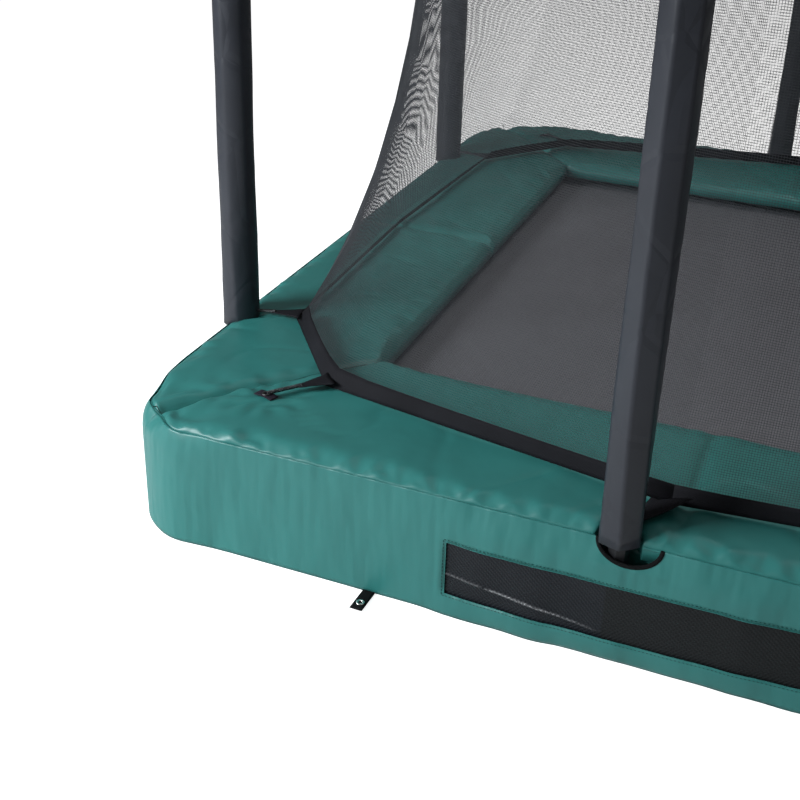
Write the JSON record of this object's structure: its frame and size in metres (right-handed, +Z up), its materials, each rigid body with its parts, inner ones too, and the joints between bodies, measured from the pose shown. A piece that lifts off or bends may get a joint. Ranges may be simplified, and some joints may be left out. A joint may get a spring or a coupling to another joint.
{
  "type": "trampoline",
  "caption": "Rectangular ground-level trampoline with a padded green cover and skirt, and a safety net on padded poles.",
  "frame": {"origin": "on the ground under the middle of the trampoline", "axes": "+X along the front long side, +Y from the front to the back, +Z up"},
  "size_m": [2.92, 2.12, 1.999],
  "materials": {
    "galvanised_steel": "galvanised tube",
    "pole_steel": "black powder coat",
    "spring_steel": "zinc-plated springs",
    "green_pvc": "coated PVC cloth, over foam on the pads",
    "vent_mesh": "open black mesh",
    "sleeve_pvc": "dark PVC over foam",
    "net_mesh": "black knitted mesh",
    "mat_fabric": "woven polypropylene",
    "zip_tape": "woven tape with coil teeth",
    "zip_metal": "dark lacquered metal",
    "buckle_plastic": "moulded black"
  },
  "bodies": {
    "frame": {"frame_rail_front": "galvanised_steel", "frame_rail_right": "galvanised_steel", "frame_rail_back": "galvanised_steel", "frame_rail_left": "galvanised_steel", "frame_corner_front_left": "galvanised_steel", "frame_corner_front_right": "galvanised_steel", "frame_corner_back_right": "galvanised_steel", "frame_corner_back_left": "galvanised_steel", "leg_front": "galvanised_steel", "leg_right": "galvanised_steel", "leg_back": "galvanised_steel", "leg_left": "galvanised_steel", "springs_front": "spring_steel", "springs_right": "spring_steel", "springs_back": "spring_steel", "springs_left": "spring_steel", "pad_front": "green_pvc", "pad_right": "green_pvc", "pad_back": "green_pvc", "pad_left": "green_pvc", "skirt_front": "green_pvc", "skirt_right": "green_pvc", "skirt_back": "green_pvc", "skirt_left": "green_pvc", "vent_front": "vent_mesh", "vent_right": "vent_mesh", "vent_back": "vent_mesh", "vent_left": "vent_mesh", "pole_front_left": "pole_steel", "pole_front_right": "pole_steel", "pole_back_left": "pole_steel", "pole_back_right": "pole_steel", "pole_left_front": "pole_steel", "pole_left_back": "pole_steel", "pole_right_front": "pole_steel", "pole_right_back": "pole_steel", "sleeve_front_left": "sleeve_pvc", "sleeve_front_right": "sleeve_pvc", "sleeve_back_left": "sleeve_pvc", "sleeve_back_right": "sleeve_pvc", "sleeve_left_front": "sleeve_pvc", "sleeve_left_back": "sleeve_pvc", "sleeve_right_front": "sleeve_pvc", "sleeve_right_back": "sleeve_pvc", "net_front_left": "net_mesh", "net_front_right": "net_mesh", "net_left": "net_mesh", "net_right": "net_mesh", "net_back": "net_mesh", "net_corner_front_left": "net_mesh", "net_corner_front_right": "net_mesh", "net_corner_back_right": "net_mesh", "net_corner_back_left": "net_mesh", "zip_track": "zip_tape", "buckle_socket": "buckle_plastic"},
    "mat": {"jump_mat": "mat_fabric"},
    "zip_slider": {"zip_slider": "zip_metal"},
    "zip_puller": {"zip_puller": "zip_metal"},
    "buckle_plug": {"buckle_plug": "buckle_plastic"}
  },
  "joints": [
    {"name": "mat_bounce", "type": "slide", "parent": "frame", "child": "mat", "axis": [0, 0, 1], "range_m": [-0.12, 0], "stiffness_N_per_m": 7000, "springref_m": 0.012, "deforming": ["springs_front", "springs_right", "springs_back", "springs_left"]},
    {"name": "zip_slide", "type": "slide", "parent": "frame", "child": "zip_slider", "axis": [0, -0.0417, 0.9991], "range_m": [0, 1.25]},
    {"name": "puller_swing", "type": "hinge", "parent": "zip_slider", "child": "zip_puller", "pos_m": [0, -0.88007, 0.31915], "axis": [-1, 0, 0], "range_deg": [0, 150]},
    {"name": "buckle_release", "type": "slide", "parent": "frame", "child": "buckle_plug", "axis": [-1, 0, 0], "range_m": [0, 0.03]}
  ]
}
